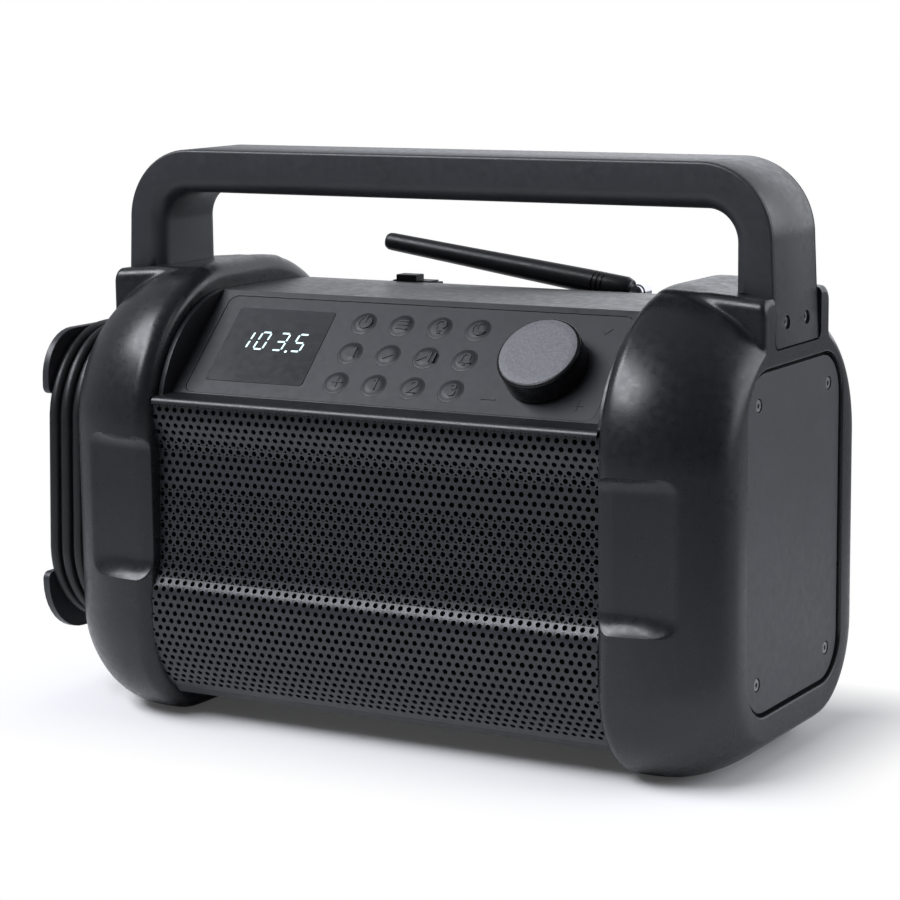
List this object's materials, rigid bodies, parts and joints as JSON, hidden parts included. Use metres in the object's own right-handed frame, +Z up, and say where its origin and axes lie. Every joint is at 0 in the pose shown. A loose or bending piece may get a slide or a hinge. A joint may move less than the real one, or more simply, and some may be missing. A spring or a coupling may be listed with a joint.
{
  "type": "jobsite radio",
  "caption": "Mains jobsite radio: perforated front grille, sloping keypad with knob and display, rubber end bumpers, carrying handle, cord winder, folding antenna.",
  "frame": {"origin": "on the surface it stands on, under the middle of its overall width (hooks included) and depth", "axes": "+X to the radio's right end as seen from the front, +Y to the back, +Z up"},
  "size_m": [0.385, 0.188, 0.2778],
  "materials": {
    "cabinet_plastic": "fine-textured ABS, satin dark grey",
    "bumper_rubber": "soft-touch over-moulding, satin charcoal",
    "grille_metal": "powder-coated charcoal, perforated",
    "keypad_rubber": "matt grey rubber with raised icons",
    "window_plastic": "tinted glossy window",
    "display_plastic": "segment display with white digits",
    "knob_plastic": "glossy black with a fine edge",
    "knob_cap_plastic": "fine spark texture, mid grey",
    "steel": "zinc plated",
    "brass": "plain",
    "circuit_board": "green solder mask",
    "speaker_metal": "black pressed steel",
    "speaker_paper": "black coated cone",
    "inner_plastic": "black ABS",
    "hook_plastic": "satin charcoal",
    "handle_plastic": "satin charcoal",
    "handle_strap": "soft-touch strap, satin charcoal",
    "cord_rubber": "black flexible lead, satin",
    "chrome": "bright",
    "antenna_rubber": "black, satin"
  },
  "bodies": {
    "housing": {"front_cabinet": "cabinet_plastic", "rear_cabinet": "cabinet_plastic", "bottom_trim": "cabinet_plastic", "control_panel": "cabinet_plastic", "left_end_plate": "cabinet_plastic", "right_end_plate": "cabinet_plastic", "left_end_frame": "cabinet_plastic", "right_end_frame": "cabinet_plastic", "left_bumper": "bumper_rubber", "right_bumper": "bumper_rubber", "speaker_grille": "grille_metal", "keypad_membrane": "keypad_rubber", "display_window": "window_plastic", "display_module": "display_plastic", "rotary_encoder": "steel", "door_hinge_pin": "steel", "end_plate_screws": "steel", "handle_screws": "steel", "cabinet_screws": "steel", "usb_socket": "steel", "handle_inserts": "brass", "keypad_board": "circuit_board", "main_board": "circuit_board", "power_supply_board": "circuit_board", "speaker_frame_left": "speaker_metal", "speaker_frame_right": "speaker_metal", "transformer": "speaker_metal", "battery_box": "inner_plastic", "aux_jack": "inner_plastic", "upper_cord_hook": "hook_plastic", "lower_cord_hook": "hook_plastic", "handle_core": "handle_plastic", "handle_cover": "handle_strap", "cord_gland": "cord_rubber", "cord_lead": "cord_rubber", "cord_winding": "cord_rubber", "cord_tail": "cord_rubber", "power_plug": "cord_rubber"},
    "volume_knob": {"volume_knob": "knob_plastic", "knob_cap": "knob_cap_plastic", "encoder_shaft": "steel"},
    "button_power": {"button_power": "keypad_rubber"},
    "button_mode": {"button_mode": "keypad_rubber"},
    "button_light": {"button_light": "keypad_rubber"},
    "button_snooze": {"button_snooze": "keypad_rubber"},
    "button_previous": {"button_previous": "keypad_rubber"},
    "button_tune": {"button_tune": "keypad_rubber"},
    "button_play_pause": {"button_play_pause": "keypad_rubber"},
    "button_alarm": {"button_alarm": "keypad_rubber"},
    "button_preset_plus": {"button_preset_plus": "keypad_rubber"},
    "button_preset_1": {"button_preset_1": "keypad_rubber"},
    "button_preset_2": {"button_preset_2": "keypad_rubber"},
    "button_preset_3": {"button_preset_3": "keypad_rubber"},
    "speaker_cone_left": {"speaker_cone_left": "speaker_paper"},
    "speaker_cone_right": {"speaker_cone_right": "speaker_paper"},
    "rear_door": {"rear_door": "cabinet_plastic"},
    "door_latch": {"door_latch": "inner_plastic"},
    "antenna_swivel": {"antenna_base": "chrome"},
    "antenna_mast": {"antenna_knuckle": "chrome", "antenna_mast": "antenna_rubber"}
  },
  "joints": [
    {"name": "volume_turn", "type": "hinge", "parent": "housing", "child": "volume_knob", "pos_m": [0.0925, -0.05448, 0.18362], "axis": [0, -0.6921, 0.7218], "continuous": true},
    {"name": "press_power", "type": "slide", "parent": "housing", "child": "button_power", "axis": [0, 0.6921, -0.7218], "range_m": [0, 0.0008], "stiffness_N_per_m": 1200},
    {"name": "press_mode", "type": "slide", "parent": "housing", "child": "button_mode", "axis": [0, 0.6921, -0.7218], "range_m": [0, 0.0008], "stiffness_N_per_m": 1200},
    {"name": "press_light", "type": "slide", "parent": "housing", "child": "button_light", "axis": [0, 0.6921, -0.7218], "range_m": [0, 0.0008], "stiffness_N_per_m": 1200},
    {"name": "press_snooze", "type": "slide", "parent": "housing", "child": "button_snooze", "axis": [0, 0.6921, -0.7218], "range_m": [0, 0.0008], "stiffness_N_per_m": 1200},
    {"name": "press_previous", "type": "slide", "parent": "housing", "child": "button_previous", "axis": [0, 0.6921, -0.7218], "range_m": [0, 0.0008], "stiffness_N_per_m": 1200},
    {"name": "press_tune", "type": "slide", "parent": "housing", "child": "button_tune", "axis": [0, 0.6921, -0.7218], "range_m": [0, 0.0008], "stiffness_N_per_m": 1200},
    {"name": "press_play_pause", "type": "slide", "parent": "housing", "child": "button_play_pause", "axis": [0, 0.6921, -0.7218], "range_m": [0, 0.0008], "stiffness_N_per_m": 1200},
    {"name": "press_alarm", "type": "slide", "parent": "housing", "child": "button_alarm", "axis": [0, 0.6921, -0.7218], "range_m": [0, 0.0008], "stiffness_N_per_m": 1200},
    {"name": "press_preset_plus", "type": "slide", "parent": "housing", "child": "button_preset_plus", "axis": [0, 0.6921, -0.7218], "range_m": [0, 0.0008], "stiffness_N_per_m": 1200},
    {"name": "press_preset_1", "type": "slide", "parent": "housing", "child": "button_preset_1", "axis": [0, 0.6921, -0.7218], "range_m": [0, 0.0008], "stiffness_N_per_m": 1200},
    {"name": "press_preset_2", "type": "slide", "parent": "housing", "child": "button_preset_2", "axis": [0, 0.6921, -0.7218], "range_m": [0, 0.0008], "stiffness_N_per_m": 1200},
    {"name": "press_preset_3", "type": "slide", "parent": "housing", "child": "button_preset_3", "axis": [0, 0.6921, -0.7218], "range_m": [0, 0.0008], "stiffness_N_per_m": 1200},
    {"name": "cone_left", "type": "slide", "parent": "housing", "child": "speaker_cone_left", "axis": [0, 1, 0], "range_m": [-0.002, 0.002], "stiffness_N_per_m": 1500},
    {"name": "cone_right", "type": "slide", "parent": "housing", "child": "speaker_cone_right", "axis": [0, 1, 0], "range_m": [-0.002, 0.002], "stiffness_N_per_m": 1500},
    {"name": "rear_door_swing", "type": "hinge", "parent": "housing", "child": "rear_door", "pos_m": [-0.0475, 0.0872, 0.071], "axis": [-1, 0, 0], "range_deg": [0, 95]},
    {"name": "latch_slide", "type": "slide", "parent": "housing", "child": "door_latch", "axis": [1, 0, 0], "range_m": [0, 0.008]},
    {"name": "antenna_swivel", "type": "hinge", "parent": "housing", "child": "antenna_swivel", "pos_m": [0.076, 0.0765, 0.1997], "axis": [0, 0, -1], "range_deg": [0, 150]},
    {"name": "antenna_tilt", "type": "hinge", "parent": "antenna_swivel", "child": "antenna_mast", "pos_m": [0.076, 0.0765, 0.2057], "axis": [0, 1, 0], "range_deg": [0, 82.4]}
  ]
}
